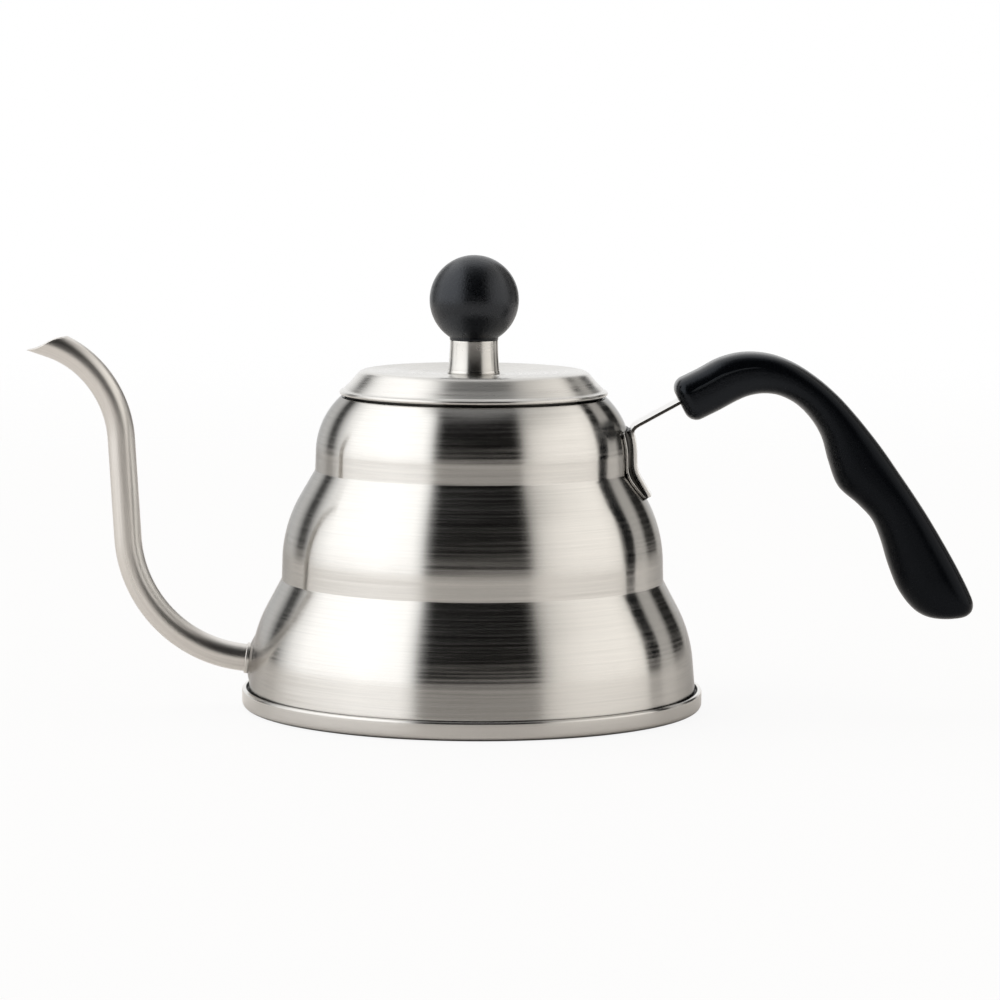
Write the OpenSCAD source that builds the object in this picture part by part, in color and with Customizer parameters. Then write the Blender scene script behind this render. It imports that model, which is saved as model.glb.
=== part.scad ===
/* [Body] */
// Radius of the straight band under the shoulder
top_tier_r = 48.8; // [48:0.1:49.4]
// Thickness of the body's sheet steel
sheet = 0.6; // [0.5:0.05:0.8]
// Outer radius of the rolled base ring
ring_r = 71.5; // [71.2:0.1:72.5]
// Height of the rolled base ring
ring_h = 5.9; // [5.4:0.1:6.2]

/* [Spout] */
// Outer diameter of the spout tube
spout_d = 8.5; // [7.5:0.1:9]
// Wall of the spout tube
spout_wall = 0.55; // [0.4:0.05:0.9]
// Height of the spout's root above the resting plane
spout_z = 14.2; // [13:0.1:16]

/* [Lid] */
// Outer radius of the lid's rolled rim
rim_r = 41.5; // [41.3:0.1:42]
// Gap round the lid's skirt inside the mouth
skirt_gap = 0.45; // [0.3:0.05:1]
// Depth of the skirt below the rim
skirt_depth = 8.6; // [5:0.2:12]
// Radius of the knob's ball
ball_r = 13.8; // [12:0.1:15]
// Height of the ball's centre
ball_z = 126.4; // [126:0.1:130]

/* [Handle] */
// Width of the grip, side to side
grip_w = 20; // [18:0.5:24]
// Thickness of the handle's strap
strap_t = 1; // [0.8:0.1:1.2]
// Half angle that the bracket plate wraps round the body
bracket_half = 16; // [13:1:20]

/* [Hidden] */
$fn = 96;

steel = "#b9b6b0";
phenolic = "#1b1b1c";
brass = "#b59a5a";

// Fit between parts that are pressed, welded or screwed together
fit = 0.02;
arc_steps = 10;

// The body is three spun tiers: each starts on a cone and rounds over to a band.
shoulder_arc = 23.6;
shoulder_z = 79;
shoulder_end = 47;
crease1_z = 73.6;
tier2_r = 59.1;
tier2_arc = 42;
tier2_z = 44.8;
tier2_cone = 30;
crease2_z = 39.7;
tier3_r = 68.79;
tier3_arc = 42;
tier3_z = 11.28;
tier3_cone = 28;
tier3_draft = 5;
foot_z = 3.2;

// The mouth is folded in over a small radius and down into a neck.
lip_arc = 0.9;
neck_end_z = 91.8;
shoulder_x = top_tier_r - shoulder_arc;
lip_c = [
    shoulder_x + (shoulder_arc - lip_arc) * cos(shoulder_end),
    shoulder_z + (shoulder_arc - lip_arc) * sin(shoulder_end)
];
mouth_r = lip_c[0] - lip_arc;

function arc(c, r, a0, a1, n = arc_steps) =
    [for (i = [0:n]) c + r * [cos(a0 + (a1 - a0) * i / n), sin(a0 + (a1 - a0) * i / n)]];

// Point where the top of a tier's cone meets the band above it
function cone_top(r, big, a, z0, z) =
    [r - big + big * cos(a) - (z - z0 - big * sin(a)) * tan(a), z];

foot_r = tier3_r - tier3_arc * (1 - cos(tier3_draft))
    + (tier3_z + tier3_arc * sin(tier3_draft) - ring_h) * tan(tier3_draft);

// Outline of the body from the foot up to the shoulder, moved inwards by t
function body_line(t, top_end) = concat(
    [[foot_r - t, foot_z], [foot_r - t, ring_h]],
    arc([tier3_r - tier3_arc, tier3_z], tier3_arc - t, tier3_draft, tier3_cone),
    [cone_top(tier3_r, tier3_arc, tier3_cone, tier3_z, crease2_z) - [t, 0]],
    arc([tier2_r - tier2_arc, tier2_z], tier2_arc - t, 0, tier2_cone),
    [cone_top(tier2_r, tier2_arc, tier2_cone, tier2_z, crease1_z) - [t, 0]],
    arc([shoulder_x, shoulder_z], shoulder_arc - t, 0, top_end)
);

function reversed(p) = [for (i = [len(p) - 1:-1:0]) p[i]];

// Spout route: root, then a straight, a rising bend, a straight, two bends over and the beak
spout_root = [-67, 13.94];
spout_rest_z = 14.2;
root_angle = 7.8;
rise_angle = 86.4;
over_angle = 42.3;
tip_angle = 18.6;
root_run = 5.68;
rise_arc = 40;
rise_run = 30.9;
over_arc = 34;
tip_arc = 29.7;
tip_run = 8.2;

function heading(a) = [-cos(a), sin(a)];
function left_of(a) = [-sin(a), -cos(a)];
function after_bend(p, a0, a1, r) =
    a1 > a0 ? p - r * left_of(a0) + r * left_of(a1) : p + r * left_of(a0) - r * left_of(a1);

p_root = [spout_root[0], spout_root[1] + spout_z - spout_rest_z];
p_rise = p_root + root_run * heading(root_angle);
p_wall = after_bend(p_rise, root_angle, rise_angle, rise_arc);
p_over = p_wall + rise_run * heading(rise_angle);
p_turn = after_bend(p_over, rise_angle, over_angle, over_arc);
p_beak = after_bend(p_turn, over_angle, tip_angle, tip_arc);

// Stops along the route, each [place, heading], closer together in the bends
spout_sides = 20;
collar_r = spout_d / 2 + 0.6;
collar_len = 3.6;
function bend_stops(p, a0, a1, r, n) =
    [for (i = [0:n]) let (a = a0 + (a1 - a0) * i / n) [after_bend(p, a0, a, r), a]];
route = concat(
    [[p_root, root_angle]],
    bend_stops(p_rise, root_angle, rise_angle, rise_arc, 14),
    bend_stops(p_over, rise_angle, over_angle, over_arc, 7),
    [for (i = [1:4]) bend_stops(p_turn, over_angle, tip_angle, tip_arc, 4)[i]],
    [[p_beak + tip_run * heading(tip_angle), tip_angle]]
);

// The beak is cut by one slanting plane.
cut_top = [-127, 114.1];
cut_angle = 19.8;

// Handle: stations along the grip, each [x, z, thickness]
grip_path = [
    [67.3, 96.5, 14.2], [72.5, 99.1, 14.2], [78.6, 102.4, 14.2], [84.3, 104.1, 13.4],
    [90.6, 104.2, 12.2], [96.8, 102.5, 11], [103, 98.9, 10.4], [108.6, 93.8, 11],
    [113.2, 87.8, 12.6], [117, 80.8, 15.8], [120.4, 74.5, 17.8], [125.4, 69, 16],
    [130.1, 63.1, 15], [133.8, 56.5, 16.2], [137, 49.5, 18.1], [140.2, 42.9, 19.2],
    [144, 37, 18.6], [147.4, 33.6, 15.6]
];
front_angle = 27.5;
front_arc = 3.8;
heel_c = [150.9, 33.2];
heel_r = 4.8;
grip_steps = 4;

strap_angle = 29;
bracket_in = 0.08;
bracket_t = 0.8;
plate_bottom = 65.4;
plate_top = 86.6;
plate_corner = 7;
strap_w = 12.4;
strap_in = bracket_in + bracket_t + fit;

// The strap's leg runs up to leg_turn round the shoulder, then bends over into the tang.
leg_turn = 16;
bend_r = 1.85;
bend_c = [shoulder_x, shoulder_z]
    + (shoulder_arc + strap_in + strap_t / 2 + bend_r) * [cos(leg_turn), sin(leg_turn)];
tang_start = bend_c + bend_r * [-sin(strap_angle), cos(strap_angle)];
tang_len = 38.2;
tang_show = 9;

// Grip fasteners: places along the tang, screw, its seat below the tang and the threaded insert
screw_at = [22, 32];
screw_r = 1.9;
screw_len = 8.8;
screw_head_r = 3.2;
screw_head_h = 2.2;
screw_play = 0.25;
seat_depth = 4.5;
seat_r = 3.6;
insert_r = 3;
insert_len = 4.6;

// Lid heights
rim_z = 97;
bead_r = 0.95;
lid_sheet = 0.7;
lid_top = 104.6;
dish_z = 103.4;
stem_r = 8.1;
stem_top_r = 7.45;
stem_top_z = 114;
screw_hole_r = 2.75;
skirt_r = mouth_r - skirt_gap;

// Knob fasteners: the insert in the ball, and the screw with two washers under the cover
knob_z = stem_top_z + 0.03;
knob_insert_r = 4;
knob_screw_r = 2.4;
washer_t = 1;
lock_t = 1.2;
washer_top = dish_z - lid_sheet;

module body_shell() {
    outer = concat(
        body_line(0, shoulder_end),
        arc(lip_c, lip_arc, shoulder_end, 180),
        [[mouth_r, neck_end_z]]
    );
    inner = concat(
        body_line(sheet, shoulder_end),
        arc(lip_c, lip_arc - sheet, shoulder_end, 180),
        [[mouth_r + sheet, neck_end_z]]
    );
    color(steel)
    difference() {
        rotate_extrude() polygon(concat(outer, reversed(inner)));
        spout_axis() translate([0, 0, -4]) cylinder(r = collar_r, h = 12);
    }
}

// Places a piece on the root of the spout, along its axis
module spout_axis() {
    translate([p_root[0], 0, p_root[1]])
    rotate([0, root_angle - 90, 0])
    children();
}

module base_pan() {
    plate_z = 3;
    plate_t = 0.7;
    ring_in = 66.4;
    low_arc = 1.8;
    high_arc = 1.5;
    color(steel)
    rotate_extrude()
    difference() {
        union() {
            polygon(concat(
                [[ring_in, plate_z + plate_t]],
                arc([ring_in + high_arc, high_arc], high_arc, 180, 270, 5),
                arc([ring_r - low_arc, low_arc], low_arc, -90, 0, 6),
                arc([ring_r - high_arc, ring_h - high_arc], high_arc, 0, 90, 6),
                [[foot_r, ring_h], [foot_r, plate_z + plate_t]]
            ));
            translate([0, plate_z]) square([ring_in + 1, plate_t]);
        }
        translate([foot_r - sheet - fit, foot_z - fit]) square([sheet + 2 * fit, ring_h]);
    }
}

// One ring of points round the route at a stop, which is [place, heading]
function ring(stop, r) = [
    for (k = [0:spout_sides - 1])
        let (t = 360 * k / spout_sides)
        [stop[0][0] + r * cos(t) * sin(stop[1]), r * sin(t), stop[0][1] + r * cos(t) * cos(stop[1])]
];

// Tube along the route: outer rings first, then inner rings
module spout_sweep() {
    n = spout_sides;
    last = len(route) - 1;
    inner = n * (last + 1);
    points = concat(
        [for (stop = route) each ring(stop, spout_d / 2)],
        [for (stop = route) each ring(stop, spout_d / 2 - spout_wall)]
    );
    walls = [
        for (i = [0:last - 1], k = [0:n - 1])
            let (a = i * n + k, b = i * n + (k + 1) % n)
            each [[a, a + n, b + n, b], [inner + a, inner + b, inner + b + n, inner + a + n]]
    ];
    ends = [
        for (k = [0:n - 1])
            let (j = (k + 1) % n, e = last * n)
            each [[k, j, inner + j, inner + k], [e + k, inner + e + k, inner + e + j, e + j]]
    ];
    polyhedron(points, concat(walls, ends), convexity = 6);
}

module spout_tube() {
    color(steel)
    difference() {
        spout_sweep();
        translate([cut_top[0], 0, cut_top[1]])
        rotate([0, -cut_angle, 0])
        translate([-40, -20, 0])
        cube([60, 40, 30]);
    }
}

module spout_collar() {
    color(steel)
    spout_axis()
    difference() {
        translate([0, 0, -0.2]) cylinder(r = collar_r - fit, h = collar_len);
        translate([0, 0, -1]) cylinder(r = spout_d / 2 + fit, h = 6);
    }
}

// Sheet that follows the body's outline from z0 to z1, between two distances from it
module wrapped_sheet(near, far, z0, z1, half) {
    rotate([0, 0, -half])
    rotate_extrude(angle = 2 * half)
    intersection() {
        polygon(concat(body_line(-far, 30), reversed(body_line(-near, 30))));
        translate([0, z0]) square([100, z1 - z0]);
    }
}

// Side view of the bracket plate: square above, rounded corners below
module plate_shape(half_w) {
    translate([-half_w, plate_bottom + plate_corner]) square([2 * half_w, plate_top - plate_bottom]);
    translate([plate_corner - half_w, plate_bottom - 1]) square([2 * (half_w - plate_corner), 2 * plate_corner]);
    for (side = [-1, 1])
        translate([side * (half_w - plate_corner), plate_bottom + plate_corner])
        circle(r = plate_corner);
}

module handle_bracket() {
    color(steel)
    intersection() {
        wrapped_sheet(bracket_in, bracket_in + bracket_t, plate_bottom, plate_top, bracket_half);
        rotate([90, 0, 90])
        linear_extrude(height = 90)
        plate_shape((top_tier_r + 1) * sin(bracket_half));
    }
}

// One face of the strap's leg, t off the body, from its foot to just short of the bend
function leg_face(t) = concat(
    [[tier2_r - tier2_arc + sqrt(pow(tier2_arc + t, 2) - pow(plate_bottom - tier2_z, 2)), plate_bottom]],
    [
        for (p = body_line(-t, leg_turn))
            if (p[1] > plate_bottom + strap_t / 2
                && p[1] < shoulder_z + (shoulder_arc + t) * sin(leg_turn) - fit) p
    ]
);

// Side view of the strap, one bent sheet: leg, bend and tang
module strap_outline() {
    along = [cos(strap_angle), sin(strap_angle)];
    up = [-along[1], along[0]] * strap_t / 2;
    tip = tang_start + tang_len * along;
    polygon(concat(
        leg_face(strap_in),
        arc(bend_c, bend_r + strap_t / 2, 180 + leg_turn, 90 + strap_angle, 8),
        [tip + up, tip - up],
        arc(bend_c, bend_r - strap_t / 2, 90 + strap_angle, 180 + leg_turn, 8),
        reversed(leg_face(strap_in + strap_t))
    ));
}

module handle_strap() {
    color(steel)
    difference() {
        rotate([90, 0, 0])
        linear_extrude(height = strap_w, center = true)
        strap_outline();
        for (s = screw_at) tang_axis(s) cylinder(r = screw_r + screw_play, h = 10, center = true);
    }
}

// Stands on the tang's middle plane, s along it from its root
module tang_axis(s) {
    translate([
        tang_start[0] + s * cos(strap_angle), 0, tang_start[1] + s * sin(strap_angle)
    ])
    rotate([0, -strap_angle, 0])
    children();
}

// Smooth curve through the grip's stations
function blend(a, b, c, d, t) =
    0.5 * (2 * b + (c - a) * t + (2 * a - 5 * b + 4 * c - d) * t * t + (3 * b - a - 3 * c + d) * t * t * t);
last_station = len(grip_path) - 1;
function station(i) = grip_path[max(0, min(last_station, i))];
grip_line = [
    for (i = [0:last_station - 1], k = [0:grip_steps - 1])
        blend(station(i - 1), station(i), station(i + 1), station(i + 2), k / grip_steps),
    station(last_station)
];
grip_last = len(grip_line) - 1;
function across(i) =
    let (d = grip_line[min(grip_last, i + 1)] - grip_line[max(0, i - 1)])
    [-d[1], d[0]] / norm([d[0], d[1]]);

// Rounded corner of the grip's front end, on the upper side (1) or the lower side (-1)
function front_corner(t, side) =
    let (
        ahead = [cos(front_angle), sin(front_angle)],
        up = side * [-ahead[1], ahead[0]],
        g = grip_line[0],
        c = [g[0], g[1]] + up * (g[2] / 2 - front_arc),
        r = front_arc - t
    )
    [for (a = [0:15:90]) c - r * cos(a) * ahead + r * sin(a) * up];

// Outline of the grip pulled in by t all round, with a rounded heel
module grip_outline(t) {
    upper = [for (i = [1:grip_last]) let (g = grip_line[i]) [g[0], g[1]] + across(i) * (g[2] / 2 - t)];
    lower = [for (i = [grip_last:-1:1]) let (g = grip_line[i]) [g[0], g[1]] - across(i) * (g[2] / 2 - t)];
    polygon(concat(
        front_corner(t, 1), upper, arc(heel_c, heel_r - t, 25, -95, 8),
        lower, reversed(front_corner(t, -1))
    ));
}

// A slice of the grip: the outline pulled in by t, w wide
module grip_slab(t, w) {
    rotate([90, 0, 0])
    linear_extrude(height = w, center = true)
    grip_outline(t);
}

module handle_grip() {
    slot = 0.05;
    color(phenolic)
    difference() {
        union() {
            grip_slab(0, grip_w * 0.56);
            grip_slab(1.2, grip_w * 0.82);
            grip_slab(3.2, grip_w);
        }
        tang_axis((tang_len + tang_show) / 2 + slot)
        cube([tang_len - tang_show, strap_w, strap_t] + 2 * slot * [1, 1, 1], center = true);
        for (s = screw_at) {
            tang_axis(s) cylinder(r = insert_r + fit, h = 5.3);
            tang_axis(s)
            translate([0, 0, -seat_depth - 1])
            cylinder(r = screw_r + screw_play, h = seat_depth + 1);
            tang_axis(s) translate([0, 0, -seat_depth - 12]) cylinder(r = seat_r, h = 12);
        }
    }
}

module grip_inserts() {
    color(brass)
    for (s = screw_at)
        tang_axis(s)
        difference() {
            translate([0, 0, strap_t / 2 + 0.06]) cylinder(r = insert_r, h = insert_len);
            cylinder(r = screw_r + fit, h = insert_len);
        }
}

// A pan-head screw that points along +Z, its head below z = 0, with a cross recess
module pan_screw(r, head_r, head_h, len) {
    difference() {
        union() {
            cylinder(r = r, h = len);
            translate([0, 0, -head_h]) cylinder(r1 = head_r * 0.8, r2 = head_r, h = head_h * 0.5);
            translate([0, 0, -head_h / 2]) cylinder(r = head_r, h = head_h / 2);
        }
        for (a = [0, 90])
            rotate([0, 0, a])
            translate([-head_r * 0.5, -head_r * 0.11, -head_h - 1])
            cube([head_r, head_r * 0.22, head_h * 0.6 + 1]);
    }
}

module grip_screws() {
    color(steel)
    for (s = screw_at)
        tang_axis(s)
        translate([0, 0, -seat_depth - fit])
        pan_screw(screw_r, screw_head_r, screw_head_h, screw_len);
}

module lid_cover() {
    edge = 2;
    boss_r = stem_r + 0.4;
    edge_c = [33.5, lid_top - edge];
    bead_c = [rim_r - bead_r, rim_z + bead_r];
    outer = concat(
        [[screw_hole_r, dish_z], [boss_r, dish_z]],
        arc(edge_c, edge, 88, 42, 6),
        arc(bead_c, bead_r, 105, -180, 16)
    );
    inner = [
        [bead_c[0] - bead_r, bead_c[1] + 0.4],
        edge_c + (edge - lid_sheet) * [cos(42), sin(42)],
        edge_c + (edge - lid_sheet) * [cos(88), sin(88)],
        [boss_r, dish_z - lid_sheet],
        [screw_hole_r, dish_z - lid_sheet]
    ];
    color(steel)
    rotate_extrude()
    polygon(concat(outer, inner));
}

module lid_skirt() {
    wall = 0.6;
    curl = 0.75;
    vents = 4;
    vent_r = 2;
    low = rim_z - skirt_depth;
    color(steel)
    difference() {
        rotate_extrude()
        union() {
            translate([skirt_r - wall, low + curl]) square([wall, skirt_depth - curl + 1.1]);
            translate([skirt_r - curl, low + curl]) circle(r = curl);
        }
        for (i = [0:vents - 1])
            rotate([0, 0, 45 + i * 360 / vents])
            translate([skirt_r - 3, 0, rim_z - 3.6])
            rotate([0, 90, 0])
            cylinder(r = vent_r, h = 6);
    }
}

module knob_stem() {
    bore = screw_hole_r + 0.35;
    color(steel)
    rotate_extrude()
    polygon([
        [bore, dish_z], [stem_r, dish_z], [stem_r, dish_z + 1.1],
        [stem_r - 0.15, dish_z + 1.3], [(stem_r + stem_top_r) / 2 - 0.1, (dish_z + stem_top_z) / 2],
        [stem_top_r, stem_top_z], [bore, stem_top_z]
    ]);
}

module knob_ball() {
    color(phenolic)
    difference() {
        union() {
            intersection() {
                translate([0, 0, ball_z]) sphere(r = ball_r);
                translate([-20, -20, stem_top_z + 0.7]) cube([40, 40, 40]);
            }
            translate([0, 0, knob_z]) cylinder(r = stem_top_r + 0.05, h = 3);
        }
        translate([0, 0, stem_top_z - 1]) cylinder(r = knob_insert_r + fit, h = 14);
    }
}

module knob_insert() {
    color(brass)
    difference() {
        translate([0, 0, knob_z]) cylinder(r = knob_insert_r, h = 12.9);
        translate([0, 0, stem_top_z - 1]) cylinder(r = knob_screw_r + fit, h = 12.5);
    }
}

module knob_screw() {
    color(steel)
    translate([0, 0, washer_top - washer_t - lock_t])
    pan_screw(knob_screw_r, 4.6, 3.2, 24);
}

module knob_washer() {
    color(steel)
    translate([0, 0, washer_top - washer_t])
    difference() {
        cylinder(r = 5.8, h = washer_t - fit);
        translate([0, 0, -1]) cylinder(r = 2.7, h = 3);
    }
}

module knob_lock_washer() {
    color(steel)
    translate([0, 0, washer_top - washer_t - lock_t + fit])
    difference() {
        cylinder(r = 4.4, h = lock_t - 2 * fit);
        translate([0, 0, -1]) cylinder(r = 2.6, h = 4);
        translate([0, -0.3, -1]) rotate([15, 0, 0]) cube([6, 0.6, 4]);
    }
}

body_shell();
base_pan();
spout_tube();
spout_collar();
handle_bracket();
handle_strap();
handle_grip();
grip_inserts();
grip_screws();
lid_cover();
lid_skirt();
knob_stem();
knob_ball();
knob_insert();
knob_screw();
knob_washer();
knob_lock_washer();
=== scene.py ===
import math

import bmesh
import bpy
from mathutils import Matrix, Vector


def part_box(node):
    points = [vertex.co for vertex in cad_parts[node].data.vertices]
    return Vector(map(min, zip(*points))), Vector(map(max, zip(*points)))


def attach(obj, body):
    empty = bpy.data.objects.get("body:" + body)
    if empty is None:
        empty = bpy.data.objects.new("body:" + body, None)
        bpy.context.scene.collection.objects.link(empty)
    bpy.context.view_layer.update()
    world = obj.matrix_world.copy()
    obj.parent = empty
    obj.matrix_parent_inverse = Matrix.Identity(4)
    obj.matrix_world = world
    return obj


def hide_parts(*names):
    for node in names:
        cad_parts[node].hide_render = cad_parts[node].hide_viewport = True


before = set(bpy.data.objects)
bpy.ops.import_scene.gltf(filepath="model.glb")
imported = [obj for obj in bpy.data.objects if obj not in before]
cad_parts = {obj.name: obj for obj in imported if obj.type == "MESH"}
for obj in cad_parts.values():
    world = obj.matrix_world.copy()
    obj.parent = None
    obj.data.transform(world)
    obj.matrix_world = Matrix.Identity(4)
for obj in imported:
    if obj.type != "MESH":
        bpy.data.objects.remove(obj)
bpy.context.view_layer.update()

mm = 0.001
scene = bpy.context.scene
scene.view_settings.view_transform = "Standard"


# helpers for outlines: an outline is a list of (radius or x, height) pairs in metres

def arcPoints(centre, radius, startDeg, endDeg, steps):
    points = []
    for i in range(steps + 1):
        a = math.radians(startDeg + (endDeg - startDeg) * i / steps)
        points.append((centre[0] + radius * math.cos(a), centre[1] + radius * math.sin(a)))
    return points


def roundCorners(points, radii, steps=6):
    # swaps each corner named in radii for a small round of about that radius
    out = []
    for i, point in enumerate(points):
        radius = radii.get(i)
        if not radius:
            out.append(point)
            continue
        p = Vector(point)
        a = Vector(points[i - 1]) - p
        b = Vector(points[(i + 1) % len(points)]) - p
        half = a.angle(b) / 2
        reach = min(radius / math.tan(half), a.length * 0.49, b.length * 0.49)
        start = p + a.normalized() * reach
        end = p + b.normalized() * reach
        for k in range(steps + 1):
            t = k / steps
            q = start * (1 - t) ** 2 + p * 2 * t * (1 - t) + end * t ** 2
            out.append((q.x, q.y))
    return out


def fineLine(points, step):
    # adds points so that no stretch is longer than step
    out = [points[0]]
    for a, b in zip(points, points[1:]):
        length = math.dist(a, b)
        if length < 1e-7:
            continue
        count = max(1, math.ceil(length / step))
        for k in range(1, count + 1):
            t = k / count
            out.append((a[0] + (b[0] - a[0]) * t, a[1] + (b[1] - a[1]) * t))
    return out


def smoothStep(t):
    t = min(1.0, max(0.0, t))
    return t * t * (3 - 2 * t)


def meshObject(name, verts, faces, surfacePlaces=None, creaseDeg=None):
    mesh = bpy.data.meshes.new(name)
    mesh.from_pydata([tuple(v) for v in verts], [], faces)
    if surfacePlaces:
        layer = mesh.attributes.new("surfacePlace", "FLOAT_VECTOR", "POINT")
        layer.data.foreach_set("vector", [value for place in surfacePlaces for value in place])
    bm = bmesh.new()
    bm.from_mesh(mesh)
    bmesh.ops.remove_doubles(bm, verts=bm.verts, dist=1e-7)
    bmesh.ops.recalc_face_normals(bm, faces=bm.faces)
    bm.to_mesh(mesh)
    bm.free()
    mesh.polygons.foreach_set("use_smooth", [True] * len(mesh.polygons))
    if creaseDeg:
        mesh.set_sharp_from_angle(angle=math.radians(creaseDeg))
    obj = bpy.data.objects.new(name, mesh)
    scene.collection.objects.link(obj)
    return obj


def spun(name, outline, segments, closed=True):
    # spins an outline about the upright axis; points on the axis become poles
    verts = []
    rings = []
    for r, z in outline:
        if r < 1e-6:
            rings.append([len(verts)])
            verts.append((0.0, 0.0, z))
            continue
        ring = []
        for k in range(segments):
            a = 2 * math.pi * k / segments
            ring.append(len(verts))
            verts.append((r * math.cos(a), r * math.sin(a), z))
        rings.append(ring)
    faces = []
    pairs = list(zip(rings, rings[1:]))
    if closed:
        pairs.append((rings[-1], rings[0]))
    for low, high in pairs:
        for k in range(segments):
            j = (k + 1) % segments
            if len(low) == 1 and len(high) == 1:
                continue
            if len(low) == 1:
                faces.append((low[0], high[k], high[j]))
            elif len(high) == 1:
                faces.append((low[k], low[j], high[0]))
            else:
                faces.append((low[k], low[j], high[j], high[k]))
    return meshObject(name, verts, faces)


def skinned(name, rings, creaseDeg=None):
    # joins rings that all have the same number of points, and closes both ends
    count = len(rings[0])
    verts = [v for ring in rings for v in ring]
    faces = []
    for i in range(len(rings) - 1):
        for k in range(count):
            j = (k + 1) % count
            a, b = i * count + k, i * count + j
            faces.append((a, b, b + count, a + count))
    faces.append(tuple(reversed(range(count))))
    start = (len(rings) - 1) * count
    faces.append(tuple(range(start, start + count)))
    return meshObject(name, verts, faces, creaseDeg=creaseDeg)


def placed(obj, body, slotName, material, *nodes):
    obj.data.materials.clear()
    obj.data.materials.append(material)
    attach(obj, body)
    if nodes:
        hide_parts(*nodes)
    return obj


def nodeTree(name):
    material = bpy.data.materials.new(name)
    material.use_nodes = True
    tree = material.node_tree
    shader = tree.nodes["Principled BSDF"]
    return material, tree, shader


def addNode(tree, kind, inputs=None, **settings):
    node = tree.nodes.new(kind)
    for key, value in settings.items():
        setattr(node, key, value)
    for key, value in (inputs or {}).items():
        if isinstance(value, bpy.types.NodeSocket):
            tree.links.new(value, node.inputs[key])
        else:
            node.inputs[key].default_value = value
    return node


def mathNode(tree, operation, a, b=0.0):
    return addNode(tree, "ShaderNodeMath", {0: a, 1: b}, operation=operation).outputs[0]


def rampNode(tree, factor, stops):
    ramp = addNode(tree, "ShaderNodeValToRGB", {"Fac": factor})
    elements = ramp.color_ramp.elements
    while len(elements) < len(stops):
        elements.new(0.5)
    for element, (position, value) in zip(elements, stops):
        element.position = position
        element.color = (*value, 1) if isinstance(value, tuple) else (value, value, value, 1)
    return ramp.outputs["Color"]


def mapped(tree, value, low, high, toLow, toHigh, shape="LINEAR"):
    inputs = {"Value": value, "From Min": low, "From Max": high, "To Min": toLow, "To Max": toHigh}
    return addNode(tree, "ShaderNodeMapRange", inputs, interpolation_type=shape).outputs["Result"]


def noise(tree, place, scale, detail, roughness=0.5):
    inputs = {"Vector": place, "Scale": scale, "Detail": detail, "Roughness": roughness}
    return addNode(tree, "ShaderNodeTexNoise", inputs).outputs["Fac"]


def stretchedNoise(tree, place, stretch, detail, roughness=0.5):
    room = addNode(tree, "ShaderNodeMapping", {"Vector": place, "Scale": stretch}).outputs[0]
    return noise(tree, room, 1.0, detail, roughness)


def mixed(tree, share, first, second, blend="MIX"):
    # a colour between two, each of them a socket or a plain colour
    colors = [c if isinstance(c, bpy.types.NodeSocket) else (*c, 1) for c in (first, second)]
    inputs = {0: share, 6: colors[0], 7: colors[1]}
    return addNode(tree, "ShaderNodeMix", inputs, data_type="RGBA", blend_type=blend).outputs[2]


def bumped(tree, shader, height, strength, distance):
    bump = addNode(tree, "ShaderNodeBump", {"Height": height, "Strength": strength, "Distance": distance})
    tree.links.new(bump.outputs[0], shader.inputs["Normal"])


def markCoordinates(tree, place, runs):
    # coordinates in which the marks are long in the first two directions and fine in the third
    if runs == "plain":
        return place
    if runs == "along":
        return addNode(tree, "ShaderNodeAttribute", attribute_name="surfacePlace").outputs["Vector"]
    x, y, z = addNode(tree, "ShaderNodeSeparateXYZ", {0: place}).outputs
    level = addNode(tree, "ShaderNodeCombineXYZ", {0: x, 1: y}).outputs[0]
    out = addNode(tree, "ShaderNodeVectorMath", {0: level}, operation="LENGTH").outputs["Value"]
    side = addNode(tree, "ShaderNodeVectorMath", {0: level}, operation="NORMALIZE").outputs["Vector"]
    sideX, sideY, flat = addNode(tree, "ShaderNodeSeparateXYZ", {0: side}).outputs
    down = mathNode(tree, "SUBTRACT", z, out)
    return addNode(tree, "ShaderNodeCombineXYZ", {0: sideX, 1: sideY, 2: down}).outputs[0]


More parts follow.
